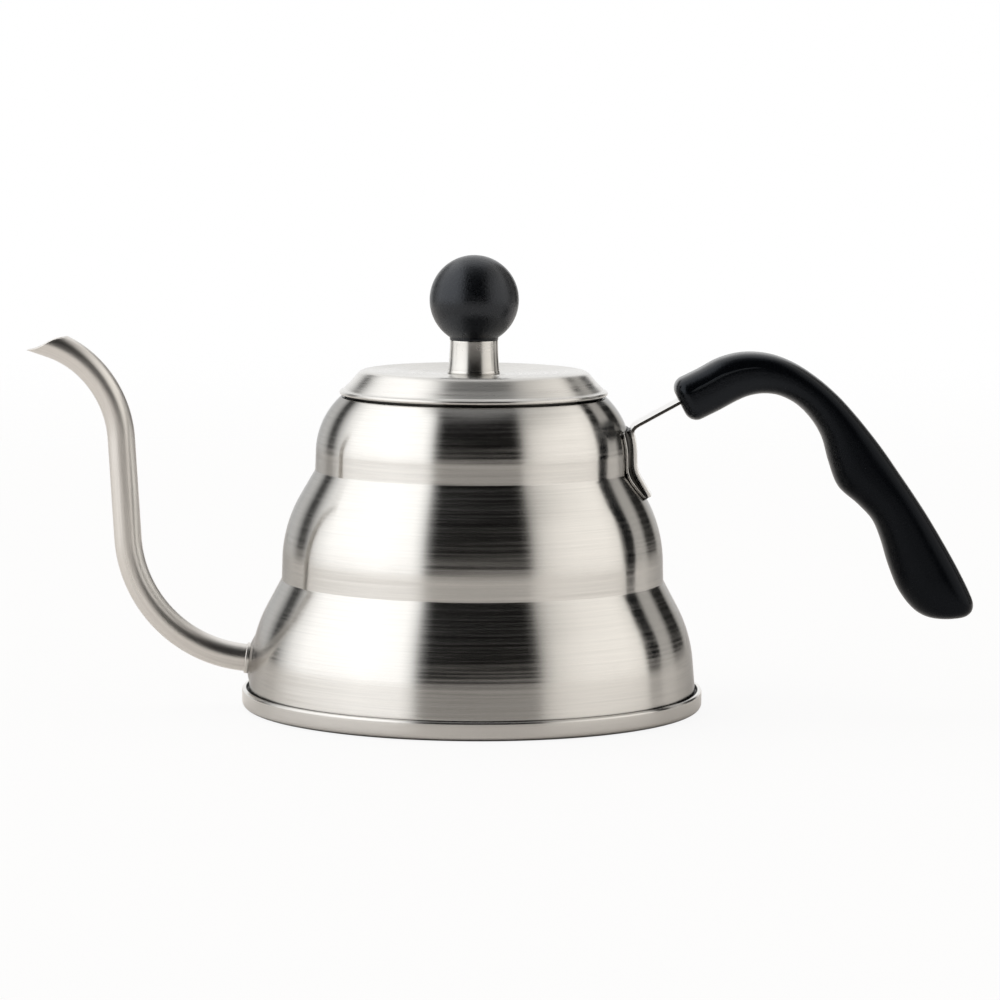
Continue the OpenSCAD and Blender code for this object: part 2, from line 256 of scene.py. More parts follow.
def brushedSteel(name, look):
    material, tree, shader = nodeTree(name)
    place = addNode(tree, "ShaderNodeTexCoord").outputs["Object"]
    marks = markCoordinates(tree, place, look.get("runs", "round"))

    # brush marks, wider bands from the polishing wheel, and faint handling smudges
    fine = stretchedNoise(tree, marks, look["grain"], 3.0, 0.6)
    bands = stretchedNoise(tree, marks, look["bands"], 2.0)
    smudge = noise(tree, place, 30.0, 3.0, 0.55)

    # colour: nearly even, a touch darker in the deeper marks, with painted shade in the crevices
    fineShare = mathNode(tree, "MULTIPLY", fine, 0.55)
    tone = mathNode(tree, "ADD", fineShare, mathNode(tree, "MULTIPLY", bands, 0.45))
    dark = tuple(c * look["depth"] for c in look["color"])
    color = rampNode(tree, tone, [(0.3, dark), (0.6, look["color"])])
    # a real stain round a point on the body; on the plate the same mark is painted shade, near black round
    # the strap's foot
    if "stainAndShade" in look:
        stainAndShade = look["stainAndShade"]
        spot = addNode(tree, "ShaderNodeVectorMath", {0: place, 1: stainAndShade["at"]}, operation="DISTANCE")
        near = mapped(tree, spot.outputs["Value"], stainAndShade["reach"], 0.0, 0.0, stainAndShade["amount"])
        color = mixed(tree, mathNode(tree, "MULTIPLY", near, smudge), color, stainAndShade["color"])
    if "sideEdgeShade" in look:
        # painted shade: the strap's faces that look sideways, from the bend up, are coloured nearly black for
        # the dark line that edge shows
        facing = addNode(tree, "ShaderNodeTexCoord").outputs["Normal"]
        sideways = addNode(tree, "ShaderNodeSeparateXYZ", {0: facing}).outputs["Y"]
        height = addNode(tree, "ShaderNodeSeparateXYZ", {0: place}).outputs["Z"]
        high = mapped(tree, height, look["cutFrom"], look["cutFrom"] + 0.002, 0.0, 1.0)
        edge = mapped(tree, mathNode(tree, "ABSOLUTE", sideways), 0.75, 0.95, 0.0, 1.0)
        color = mixed(tree, mathNode(tree, "MULTIPLY", edge, high), color, look["sideEdgeShade"])
    # painted shade: where the AO node finds the surface closed in, the colour is darkened towards a
    # near-black shade colour
    crevice = {"Distance": look["creviceReach"]}
    reach = addNode(tree, "ShaderNodeAmbientOcclusion", crevice, samples=8).outputs["AO"]
    unshaded = mapped(tree, reach, look["creviceFrom"], look["creviceTo"], 0.0, 1.0)
    tree.links.new(mixed(tree, unshaded, look["creviceShade"], color), shader.inputs["Base Color"])

    fineRough = mapped(tree, bands, 0.3, 0.7, -look["lines"], look["lines"])
    wornRough = mapped(tree, smudge, 0.3, 0.7, look["roughness"] - 0.012, look["roughness"] + 0.018)
    tree.links.new(mathNode(tree, "ADD", fineRough, wornRough), shader.inputs["Roughness"])
    bumped(tree, shader, fine, look["bump"], 0.00002)
    if look["streak"]:
        tangent = addNode(tree, "ShaderNodeTangent", direction_type="RADIAL", axis="Z")
        tree.links.new(tangent.outputs[0], shader.inputs["Tangent"])
    shader.inputs["Metallic"].default_value = 1.0
    shader.inputs["Specular Tint"].default_value = (*[look["edgeTone"]] * 3, 1)
    shader.inputs["Anisotropic"].default_value = look["streak"]
    shader.inputs["Anisotropic Rotation"].default_value = 0.25
    return material


# what the steel pieces share, and what each has of its own
common = {
    "creviceReach": 0.0022, "creviceFrom": 0.2, "creviceTo": 0.64, "creviceShade": (0.04, 0.038, 0.035),
    "edgeTone": 1.0, "lines": 0.02, "streak": 0.0, "bump": 0.05, "depth": 0.92,
    "grain": (2.2, 2.2, 5200.0), "bands": (0.8, 0.8, 380.0),
}
polished = {"roughness": 0.12, "grain": (900.0, 900.0, 900.0), "bands": (90.0, 90.0, 90.0), "runs": "plain"}
steelLook = {
    "body": {
        "color": (0.715, 0.70, 0.67), "depth": 0.88, "roughness": 0.175, "streak": 0.94, "bump": 0.2,
        "bands": (0.8, 0.8, 1100.0), "lines": 0.05, "edgeTone": 0.52,
        "stainAndShade": {"at": (-0.0665, -0.01, 0.0165), "reach": 0.014, "amount": 0.4, "color": (0.6, 0.5, 0.47)},
    },
    "base": {"color": (0.67, 0.655, 0.63), "depth": 0.9, "roughness": 0.20, "streak": 0.85, "bump": 0.12},
    "lid": {
        "color": (0.70, 0.685, 0.655), "depth": 0.86, "roughness": 0.29, "streak": 0.75, "bump": 0.25,
        "grain": (1.6, 1.6, 4200.0), "bands": (0.8, 0.8, 900.0), "lines": 0.05,
        "creviceReach": 0.0034, "creviceFrom": 0.38, "creviceTo": 0.76,
    },
    "stem": {"color": (0.715, 0.70, 0.67), "depth": 0.9, "roughness": 0.25, "streak": 0.85, "bump": 0.15},
    # the strap's sideways faces get painted shade, nearly black
    "bracket": {**polished, "color": (0.68, 0.67, 0.65), "sideEdgeShade": (0.045, 0.043, 0.04), "cutFrom": 0.0845},
    "plate": {
        **polished, "color": (0.62, 0.61, 0.59), "edgeTone": 0.12,
        # painted shade: the plate beside the strap is darkened nearly black round this point
        "stainAndShade": {"at": (0.0497, 0.0, 0.0715), "reach": 0.0165, "amount": 4.0, "color": (0.045, 0.043, 0.04)},
    },
    "spout": {
        "color": (0.76, 0.735, 0.70), "depth": 0.84, "roughness": 0.31, "bump": 0.09, "lines": 0.04,
        "grain": (2000.0, 2000.0, 40.0), "bands": (420.0, 420.0, 14.0), "runs": "along",
    },
    "fastener": {
        **polished, "color": (0.74, 0.74, 0.75), "roughness": 0.2, "grain": (1500.0, 1500.0, 1500.0),
    },
}
steel = {}
for steelName, look in steelLook.items():
    steel[steelName] = brushedSteel(steelName + "Steel", {**common, **look})


def phenolic(name, look):
    material, tree, shader = nodeTree(name)
    place = addNode(tree, "ShaderNodeTexCoord").outputs["Object"]
    grain = noise(tree, place, look["grainScale"], 2.0)
    cloud = noise(tree, place, 45.0, 4.0)
    pebbles = {"Vector": place, "Scale": look["pebbleScale"]}
    pebble = addNode(tree, "ShaderNodeTexVoronoi", pebbles).outputs["Distance"]
    color = rampNode(tree, cloud, [(0.3, look["dark"]), (0.7, look["light"])])
    tree.links.new(color, shader.inputs["Base Color"])
    fineRough = mapped(tree, grain, 0.3, 0.7, -0.05, 0.05)
    wornRough = mapped(tree, cloud, 0.3, 0.7, look["roughness"] - 0.03, look["roughness"] + 0.04)
    tree.links.new(mathNode(tree, "ADD", fineRough, wornRough), shader.inputs["Roughness"])
    height = mathNode(tree, "ADD", grain, mathNode(tree, "MULTIPLY", pebble, 0.6))
    bumped(tree, shader, height, look["bump"], 0.00006)
    if "mattShine" in look:
        # hands have worn the shine off towards the heel
        x = addNode(tree, "ShaderNodeSeparateXYZ", {0: place}).outputs["X"]
        worn = mapped(tree, x, look["mattFrom"], look["mattTo"], look["shine"], look["mattShine"])
        tree.links.new(worn, shader.inputs["Specular IOR Level"])
    else:
        shader.inputs["Specular IOR Level"].default_value = look["shine"]
    shader.inputs["Specular Tint"].default_value = (*look["sheen"], 1)
    return material


blackResin = {"dark": (0.0014, 0.0018, 0.0026), "light": (0.0026, 0.0031, 0.0042), "pebbleScale": 1500.0}
gripPhenolic = phenolic("gripPhenolic", {
    **blackResin, "roughness": 0.24, "grainScale": 2400.0, "bump": 0.25, "sheen": (0.8, 0.88, 1.0),
    "shine": 0.27, "mattFrom": 0.088, "mattTo": 0.116, "mattShine": 0.13,
})
ballPhenolic = phenolic("ballPhenolic", {
    **blackResin, "roughness": 0.29, "grainScale": 1300.0, "bump": 0.7, "sheen": (0.86, 0.91, 1.0),
    "shine": 0.56,
})


def machinedBrass():
    material, tree, shader = nodeTree("machinedBrass")
    place = addNode(tree, "ShaderNodeTexCoord").outputs["Object"]
    marks = noise(tree, place, 900.0, 3.0)
    color = rampNode(tree, marks, [(0.3, (0.58, 0.42, 0.19)), (0.7, (0.78, 0.60, 0.31))])
    tree.links.new(color, shader.inputs["Base Color"])
    tree.links.new(mapped(tree, marks, 0.3, 0.7, 0.26, 0.4), shader.inputs["Roughness"])
    shader.inputs["Metallic"].default_value = 1.0
    return material


brass = machinedBrass()
print("materials done")


# body shell: three spun tiers, rounded shoulder, folded mouth
bodyDims = {
    "wall": 0.6 * mm, "step": 0.9 * mm, "segments": 256, "tierArc": 42.0 * mm, "creaseRound": 0.5 * mm,
    "shoulderArc": 23.6 * mm, "shoulderEnd": 47.0, "bandTop": 79.0 * mm, "bandRadius": 48.8 * mm,
    "crease1": 73.6 * mm, "tier2Radius": 59.1 * mm, "tier2Centre": 44.8 * mm, "tier2Cone": 30.0,
    "crease2": 39.7 * mm, "tier3Radius": 68.79 * mm, "tier3Centre": 11.28 * mm, "tier3Cone": 28.0,
    "draft": 5.0, "lipArc": 0.9 * mm, "neckDepth": 4.7 * mm, "lipSlope": 0.2 * mm,
}
shellLow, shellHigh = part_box("body_shell")
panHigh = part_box("base_pan")[1]


def coneTop(radius, centre, coneDeg, height):
    # where a tier's cone meets the band above it
    d = bodyDims
    a = math.radians(coneDeg)
    start = (radius - d["tierArc"] + d["tierArc"] * math.cos(a), centre + d["tierArc"] * math.sin(a))
    return (start[0] - (height - start[1]) * math.tan(a), height)


def bodyOutline(inward, creaseRound):
    # the shell's outer face moved inward, from the foot to the lip
    d = bodyDims
    foot = shellHigh.x
    tier3 = (d["tier3Radius"] - d["tierArc"], d["tier3Centre"])
    tier2 = (d["tier2Radius"] - d["tierArc"], d["tier2Centre"])
    shoulder = (d["bandRadius"] - d["shoulderArc"], d["bandTop"])
    corner2 = coneTop(d["tier3Radius"], d["tier3Centre"], d["tier3Cone"], d["crease2"])
    corner1 = coneTop(d["tier2Radius"], d["tier2Centre"], d["tier2Cone"], d["crease1"])
    a = math.radians(d["shoulderEnd"])
    lip = (shoulder[0] + (d["shoulderArc"] - d["lipArc"]) * math.cos(a),
           shoulder[1] + (d["shoulderArc"] - d["lipArc"]) * math.sin(a))
    line = [(foot - inward, shellLow.z), (foot - inward, panHigh.z)]
    line += arcPoints(tier3, d["tierArc"] - inward, d["draft"], d["tier3Cone"], 26)
    creases = {len(line): creaseRound}
    line.append((corner2[0] - inward, corner2[1]))
    line += arcPoints(tier2, d["tierArc"] - inward, 0, d["tier2Cone"], 30)
    creases[len(line)] = creaseRound
    line.append((corner1[0] - inward, corner1[1]))
    line += arcPoints(shoulder, d["shoulderArc"] - inward, 0, d["shoulderEnd"], 36)
    line = roundCorners(line, creases, 5)
    line += arcPoints(lip, d["lipArc"] - inward, d["shoulderEnd"], 180, 12)[1:]
    line.append((lip[0] - d["lipArc"] + inward, lip[1] - d["neckDepth"] + d["lipArc"]))
    return fineLine(line, d["step"])


def bodyRadiusAt(height, line):
    for (r0, z0), (r1, z1) in zip(line, line[1:]):
        if min(z0, z1) <= height <= max(z0, z1) and z0 != z1:
            return r0 + (r1 - r0) * (height - z0) / (z1 - z0)
    return line[-1][0]


outerLine = bodyOutline(0.0, bodyDims["creaseRound"])
innerLine = bodyOutline(bodyDims["wall"], bodyDims["creaseRound"])
rimClose = [((outerLine[-1][0] + innerLine[-1][0]) / 2, outerLine[-1][1] - bodyDims["lipSlope"])]
bodyShell = spun("bodyShell", outerLine + rimClose + innerLine[::-1], bodyDims["segments"])

# the sheet is drawn out into a low neck where the spout enters
collarLow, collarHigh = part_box("spout_collar")
neck = {
    "tiltDeg": 7.8, "reach": 9.5 * mm, "rise": 0.85 * mm, "edge": 4.3 * mm, "hole": 4.1 * mm,
    "drill": 8 * mm, "side": -50 * mm,
}
spoutTilt = math.radians(neck["tiltDeg"])
rootPlace = Vector(((collarLow.x + collarHigh.x) / 2, 0, (collarLow.z + collarHigh.z) / 2))
rootAxis = Vector((-math.cos(spoutTilt), 0, math.sin(spoutTilt)))
for v in bodyShell.data.vertices:
    if v.co.x > neck["side"]:
        continue
    away = v.co - rootPlace
    side = (away - rootAxis * away.dot(rootAxis)).length
    t = 1 - smoothStep((side - neck["edge"]) / (neck["reach"] - neck["edge"]))
    v.co += rootAxis * neck["rise"] * t ** 2
placed(bodyShell, "kettle", "body_steel", steel["body"], "body_shell")


def cutHole(obj, start, direction, radius, length):
    # drills obj with a round cutter, then drops the cutter
    rings = []
    side = direction.orthogonal().normalized()
    other = direction.cross(side)
    for end in (0, length):
        ring = []
        for k in range(64):
            a = 2 * math.pi * k / 64
            ring.append(start + direction * end + side * radius * math.cos(a) + other * radius * math.sin(a))
        rings.append(ring)
    cutter = skinned("cutter", rings)
    cut = obj.modifiers.new("hole", "BOOLEAN")
    cut.operation = "DIFFERENCE"
    cut.solver = "EXACT"
    cut.object = cutter
    depsgraph = bpy.context.evaluated_depsgraph_get()
    done = bpy.data.meshes.new_from_object(obj.evaluated_get(depsgraph))
    obj.modifiers.remove(cut)
    old = obj.data
    obj.data = done
    bpy.data.meshes.remove(old)
    bpy.data.objects.remove(cutter)
    # the many-sided faces round the hole are split evenly, so that they export without folds
    bm = bmesh.new()
    bm.from_mesh(done)
    bmesh.ops.triangulate(bm, faces=[face for face in bm.faces if len(face.verts) > 4], ngon_method="BEAUTY")
    bm.to_mesh(done)
    bm.free()


cutHole(bodyShell, rootPlace - rootAxis * neck["drill"], rootAxis, neck["hole"], 2 * neck["drill"])
print("body shell done")


# base pan: flat bottom rolled into a ring that stands proud of the body
panDims = {
    "ringWidth": 5.1 * mm, "lowRound": 1.8 * mm, "highRound": 0.8 * mm, "innerRound": 1.5 * mm,
    "plateRise": 3.0 * mm, "sheet": 0.7 * mm, "step": 1.2 * mm,
    "pressRing": 52.0 * mm, "pressRise": 0.6 * mm, "pressSlope": 1.2 * mm, "pressRound": 1 * mm,
    "rollFrom": 2.2 * mm, "rollBack": 1.2 * mm, "rollRound": 0.9 * mm,
    "grooveWidth": 0.8 * mm, "grooveDepth": 1.7 * mm, "grooveRound": 0.2 * mm,
    "bodyGap": 0.03 * mm, "seat": 0.65 * mm, "seatDrop": 0.05 * mm,
}


def panOutline():
    d = panDims
    out, top = min(panHigh.x, panHigh.y), panHigh.z
    inner = out - d["ringWidth"]
    foot = shellHigh.x
    under, upper = d["plateRise"], d["plateRise"] + d["sheet"]
    slopeEnd = d["pressRing"] - d["pressSlope"]
    seat = shellLow.z - d["seatDrop"]
    line = [(0.0, under + d["pressRise"]), (slopeEnd, under + d["pressRise"]), (d["pressRing"], under),
            (inner - d["rollFrom"], under)]
    line = roundCorners(line, {1: d["pressRound"], 2: d["pressRound"]}, 4)
    line += arcPoints((inner - d["rollBack"], under - d["rollRound"]), d["rollRound"], 90, 0, 5)
    line += arcPoints((inner + d["innerRound"], d["innerRound"]), d["innerRound"], 190, 270, 8)
    line += arcPoints((out - d["lowRound"], d["lowRound"]), d["lowRound"], -90, 0, 10)
    line += arcPoints((out - d["highRound"], top - d["highRound"]), d["highRound"], 0, 90, 10)
    grooveEdge = (foot + d["grooveWidth"] + d["grooveRound"], top - d["grooveRound"])
    line += arcPoints(grooveEdge, d["grooveRound"], 90, 180, 3)
    line += [(foot + d["grooveWidth"], top - d["grooveDepth"]), (foot + d["bodyGap"], top - d["grooveDepth"]),
             (foot + d["bodyGap"], seat), (foot - d["seat"], seat), (foot - d["seat"], upper),
             (d["pressRing"], upper), (slopeEnd, upper + d["pressRise"]), (0.0, upper + d["pressRise"])]
    return fineLine(line, d["step"])


placed(spun("basePan", panOutline(), 256, closed=False), "kettle", "base_steel", steel["base"], "base_pan")
print("base pan done")


# spout: one bent tube with a slanting beak
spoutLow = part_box("spout_tube")[0]
spoutDims = {
    "radius": 4.25 * mm, "wall": 0.55 * mm, "sides": 56, "ringStep": 1.2 * mm,
    "rootX": -67.0 * mm, "rootZ": 13.94 * mm, "rootRun": 5.68 * mm, "riseArc": 40.0 * mm,
    "riseRun": 30.9 * mm, "overArc": 34.0 * mm, "tipArc": 29.7 * mm, "tipRun": 14.2 * mm,
    "headings": (neck["tiltDeg"], 86.4, 42.3, 18.6),
    "cutTop": (-127.0 * mm, 114.1 * mm), "cutDeg": 19.8, "cutFrom": 60 * mm, "cutSlack": 2 * mm,
    "swell": 0.35 * mm, "swellRun": 11 * mm, "beakRun": 4 * mm, "beakRows": 20, "lipRound": 0.12 * mm,
}


def spoutRoute():
    # stretches of the centre line: (length, start heading, end heading, bend radius or None)
    d = spoutDims
    root, rise, over, tip = (math.radians(h) for h in d["headings"])
    return [
        (d["rootRun"], root, root, None),
        (d["riseArc"] * (rise - root), root, rise, d["riseArc"]),
        (d["riseRun"], rise, rise, None),
        (d["overArc"] * (rise - over), rise, over, d["overArc"]),
        (d["tipArc"] * (over - tip), over, tip, d["tipArc"]),
        (d["tipRun"], tip, tip, None),
    ]


def routePlace(s):
    # point on the centre line and heading, s along it from the root
    x, z = spoutDims["rootX"], spoutDims["rootZ"]
    for length, a0, a1, radius in spoutRoute():
        u = min(s, length)
        if radius is None:
            x -= u * math.cos(a0)
            z += u * math.sin(a0)
            heading = a0
        else:
            turn = math.copysign(u / radius, a1 - a0)
            sign = math.copysign(1, a1 - a0)
            heading = a0 + turn
            x += sign * radius * (math.sin(a0) - math.sin(heading))
            z += sign * radius * (math.cos(a0) - math.cos(heading))
        s -= u
        if s <= 1e-9:
            break
    return x, z, heading


def spoutPoint(s, turn, radius):
    x, z, heading = routePlace(s)
    up = radius * math.cos(turn)
    return Vector((x + up * math.sin(heading), radius * math.sin(turn), z + up * math.cos(heading)))


def beakEnd(turn, radius):
    # how far along the tube this line of its wall runs before the slanting cut
    d = spoutDims
    slope = math.tan(math.radians(d["cutDeg"]))
    low, high = d["cutFrom"], sum(stretch[0] for stretch in spoutRoute())
    for _ in range(40):
        middle = (low + high) / 2
        p = spoutPoint(middle, turn, radius)
        # a slight swell in the cut gives the beak its lip
        share = min(1, max(0, (d["cutTop"][0] - p.x) / d["swellRun"]))
        swell = d["swell"] * math.sin(math.pi * share * 2)
        edge = d["cutTop"][1] - (d["cutTop"][0] - p.x) * slope + swell
        if p.z > edge or p.x < spoutLow.x:
            high = middle
        else:
            low = middle
        if p.x > d["cutTop"][0] + d["cutSlack"]:
            low = max(low, middle)
    return low


def spoutRings(radius, shorten=0.0):
    d = spoutDims
    turns = [2 * math.pi * k / d["sides"] for k in range(d["sides"])]
    ends = [beakEnd(t, radius) - shorten for t in turns]
    start = min(ends) - d["beakRun"]
    rings = []
    count = round(start / d["ringStep"])
    for i in range(count + 1):
        rings.append([spoutPoint(start * i / count, t, radius) for t in turns])
    for i in range(1, d["beakRows"] + 1):
        f = i / d["beakRows"]
        rings.append([spoutPoint(start + (end - start) * f, t, radius) for t, end in zip(turns, ends)])
    return rings


def spoutTube():
    d = spoutDims
    outer = spoutRings(d["radius"], d["lipRound"])
    inner = spoutRings(d["radius"] - d["wall"], d["lipRound"])
    lip = spoutRings(d["radius"] - d["wall"] / 2)[-1]
    rings = outer + [lip] + inner[::-1]
    count = d["sides"]
    verts = [v for ring in rings for v in ring]
    places = []
    along = 0.0
    for i, ring in enumerate(rings):
        if i:
            along += (ring[0] - rings[i - 1][0]).length
        for k in range(count):
            a = 2 * math.pi * k / count
            places.append((d["radius"] * math.cos(a), d["radius"] * math.sin(a), along))
    faces = []
    for i in range(len(rings)):
        n = (i + 1) % len(rings)
        for k in range(count):
            j = (k + 1) % count
            faces.append((i * count + k, i * count + j, n * count + j, n * count + k))
    return meshObject("spoutTube", verts, faces, places)


placed(spoutTube(), "kettle", "spout_steel", steel["spout"], "spout_tube")

collarDims = {
    "gap": 0.02 * mm, "radius": 4.83 * mm, "back": 1.6 * mm, "front": 1.65 * mm, "edgeRound": 0.3 * mm,
    "bead": 1.75 * mm, "beadRound": 0.2 * mm, "flank": 0.9 * mm,
}


def spoutCollar():
    # a ring round the tube, with a soft outer edge and a fine bead against the tube
    d = collarDims
    inside = spoutDims["radius"] + d["gap"]
    line = [(inside, -d["back"]), (inside, d["bead"])]
    line += arcPoints((inside + d["beadRound"], d["bead"]), d["beadRound"], 180, 90, 4)[1:]
    line += arcPoints((d["radius"] - d["edgeRound"], d["front"]), d["edgeRound"], 90, 0, 5)
    line += [(d["radius"], d["flank"]), (d["radius"], -d["back"])]
    obj = spun("spoutCollar", line, 64)
    turn = rootAxis.to_track_quat("Z", "Y").to_matrix().to_4x4()
    obj.data.transform(Matrix.Translation(rootPlace) @ turn)
    return obj


placed(spoutCollar(), "kettle", "spout_steel", steel["spout"], "spout_collar")
print("spout done")


# bracket and strap: sheet steel ribbons that start wrapped round the body
ribbonDims = {
    "plateTop": 86.6 * mm, "plateBottom": 65.4 * mm, "plateDeg": 16.0, "plateFit": 0.985,
    "plateThick": 0.8 * mm, "plateCorner": 8.0 * mm, "plateTopCorner": 1.6 * mm, "plateLift": 0.08 * mm,
    "plateRows": 64, "plateAcross": 30,
    "strapHalf": 6.2 * mm, "strapThick": 1.12 * mm, "strapDeg": 29.0, "strapLift": 0.02 * mm,
    "strapInset": 0.4 * mm, "strapRows": 44, "strapAcross": 18,
    "bendTop": 85.6 * mm, "bendRound": 3.2 * mm, "bendRows": 12, "barRows": 39,
    "bevel": 0.12 * mm, "endThin": 0.72, "sharpDeg": 28, "creaseRound": 12.0 * mm, "creaseFrom": 50 * mm,
}
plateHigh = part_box("handle_bracket")[1]
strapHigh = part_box("handle_strap")[1]


def ribbonRing(place, half, lift, thick, bevel, across):
    # closed section of a ribbon: place(side, height) gives a point, half is its half width
    inside = half - bevel
    top = [(-inside + 2 * inside * k / across, lift + thick) for k in range(across + 1)]
    low = [(inside - 2 * inside * k / across, lift) for k in range(across + 1)]
    right = [(half, lift + thick - bevel), (half, lift + bevel)]
    left = [(-half, lift + bevel), (-half, lift + thick - bevel)]
    return [place(side, height) for side, height in top + right + low + left]


def wrappedPlace(z, line):
    # maps (distance round the body, height off it) at one level to a point behind the body
    gap = 0.4 * mm
    r = bodyRadiusAt(z, line)
    slope = Vector((bodyRadiusAt(z + gap, line) - bodyRadiusAt(z - gap, line), 2 * gap)).normalized()
    outward = (slope.y, -slope.x)

    def place(side, height):
        a = side / r
        reach = r + height * outward[0]
        return Vector((reach * math.cos(a), reach * math.sin(a), z + height * outward[1]))
    return place


def bodyLevels(top, bottom, count, ease):
    # levels from top to bottom, closer together at the ends
    out = []
    for i in range(count + 1):
        t = i / count
        t = t * (1 - ease) + (0.5 - 0.5 * math.cos(math.pi * t)) * ease
        out.append(top + (bottom - top) * t)
    return out


def endPinch(fromEnd):
    # thins a ribbon over its bevel at an end
    thin = ribbonDims["endThin"]
    return min(1.0, thin + (1 - thin) * fromEnd / ribbonDims["bevel"])


def cornerInset(corner, fromEnd):
    # how much a rounded corner takes off a ribbon's half width, this far from its end
    if fromEnd >= corner:
        return 0.0
    return corner - math.sqrt(max(0, corner ** 2 - (corner - fromEnd) ** 2))


def handleBracket():
    d = ribbonDims
    half = plateHigh.x * math.radians(d["plateDeg"]) * d["plateFit"]
    rings = []
    for z in bodyLevels(d["plateTop"], d["plateBottom"], d["plateRows"], 0.9):
        drop = z - d["plateBottom"]
        rise = d["plateTop"] - z
        width = half - cornerInset(d["plateCorner"], drop) - cornerInset(d["plateTopCorner"], rise)
        thick = d["plateThick"] * endPinch(min(drop, rise))
        lift = d["plateLift"] + (d["plateThick"] - thick) / 2
        place = wrappedPlace(z, smoothLine)
        rings.append(ribbonRing(place, width, lift, thick, d["bevel"], d["plateAcross"]))
    return skinned("handleBracket", rings, creaseDeg=d["sharpDeg"])


def handleStrap():
    d = ribbonDims
    lift = d["plateLift"] + d["plateThick"] + d["strapLift"]
    half, thick = d["strapHalf"], d["strapThick"]
    bevel, across = d["bevel"], d["strapAcross"]
    rings = []
    for z in bodyLevels(d["plateBottom"], d["bendTop"], d["strapRows"], 0.6):
        thin = thick * endPinch(z - d["plateBottom"])
        place = wrappedPlace(z, smoothLine)
        rings.append(ribbonRing(place, half, lift + (thick - thin) / 2, thin, bevel, across))
    # the bend turns from standing up the body to the bar's slope, then the bar runs into the grip
    angle = math.radians(d["strapDeg"])
    standX = bodyRadiusAt(d["bendTop"], smoothLine) + lift + thick / 2
    barRows = []
    for i in range(1, d["bendRows"] + 1):
        a = (math.pi / 2 - angle) * i / d["bendRows"]
        x = standX + d["bendRound"] * (1 - math.cos(a))
        z = d["bendTop"] + d["bendRound"] * math.sin(a)
        barRows.append(flatPlace(x, z, math.pi / 2 - a, i / d["bendRows"]))
    length = (strapHigh.x - x) / math.cos(angle) - d["strapInset"]
    for i in range(1, d["barRows"] + 1):
        s = length * i / d["barRows"]
        barRows.append(flatPlace(x + s * math.cos(angle), z + s * math.sin(angle), angle, 1.0))
    for place in barRows:
        rings.append(ribbonRing(place, half, -thick / 2, thick, bevel, across))
    return skinned("handleStrap", rings, creaseDeg=d["sharpDeg"])


def flatPlace(cx, cz, slope, flat):
    # maps onto a bar that slopes up at this angle; flat 0 still follows the body's curve, 1 is flat
    outward = (math.sin(slope), -math.cos(slope))
    curve = bodyRadiusAt(ribbonDims["bendTop"], smoothLine)

    def place(side, height):
        sag = (1 - math.cos(side / curve)) * curve * (1 - smoothStep(flat))
        return Vector((cx + height * outward[0] - sag, side, cz + height * outward[1]))
    return place


# the ribbons bridge the body's crease in a soft bend
smoothLine = [p for p in bodyOutline(0.0, ribbonDims["creaseRound"]) if p[1] > ribbonDims["creaseFrom"]]
placed(handleBracket(), "kettle", "bracket_steel", steel["plate"], "handle_bracket")
placed(handleStrap(), "kettle", "bracket_steel", steel["bracket"], "handle_strap")
print("bracket and strap done")


# grip: moulded, hooked over at the front, finger bump inside, thick heel
gripDims = {
    # stations along the middle, in millimetres: x, z, thickness
    "stations": [
        (67.3, 96.5, 14.2), (72.5, 99.1, 14.2), (78.6, 102.4, 14.2), (84.3, 104.1, 13.4),
        (90.6, 104.2, 12.2), (96.8, 102.5, 11.0), (103.0, 98.9, 10.4), (108.6, 93.8, 11.0),
        (113.2, 87.8, 12.6), (117.0, 80.8, 15.8), (120.4, 74.5, 17.8), (125.4, 69.0, 16.0),
        (130.1, 63.1, 15.0), (133.8, 56.5, 16.2), (137.0, 49.5, 18.1), (140.2, 42.9, 19.2),
    ],
    # the heel: inner edge x, z, outer edge x, z, width
    "heel": [
        (134.3, 34.3, 151.6, 42.0, 19.4), (137.1, 31.2, 154.1, 37.0, 19.0),
        (139.6, 29.5, 155.4, 33.6, 18.0), (141.9, 28.65, 155.25, 31.2, 16.0),
        (144.2, 28.3, 154.0, 29.6, 12.6), (146.6, 28.2, 152.2, 28.75, 8.0),
        (148.4, 28.22, 150.6, 28.45, 3.4),
    ],
    "frontWidth": 17.8, "heelWidth": 19.4, "widenFrom": 5, "widenOver": 8,
    "frontDeg": 27.5, "frontRound": 3.8, "frontRows": 14, "sides": 88, "perSpan": 7,
    # powers above 2 square up the section; the inner side gets rounder from softFrom on
    "power": 3.2, "innerPower": 2.25, "softFrom": 88.0, "softOver": 18.0,
    # the raised line that the two halves of the mould leave near the front
    "seam": 0.17, "seamPlace": 0.36, "seamWidth": 0.02,
    "seamFrom": 68.0, "seamFull": 70.0, "seamFade": 78.0, "seamTo": 92.0,
}


def curveThrough(rows, i, t):
    # smooth curve through the stations, all their values at once
    last = len(rows) - 1
    a, b, c, e = (rows[max(0, min(last, i + k))] for k in (-1, 0, 1, 2))
    out = []
    for p, q, r, s in zip(a, b, c, e):
        bend = 2 * p - 5 * q + 4 * r - s
        twist = 3 * q - p - 3 * r + s
        out.append(0.5 * (2 * q + (r - p) * t + bend * t * t + twist * t ** 3))
    return out


def powered(value, power):
    return math.copysign(abs(value) ** (2 / power), value)


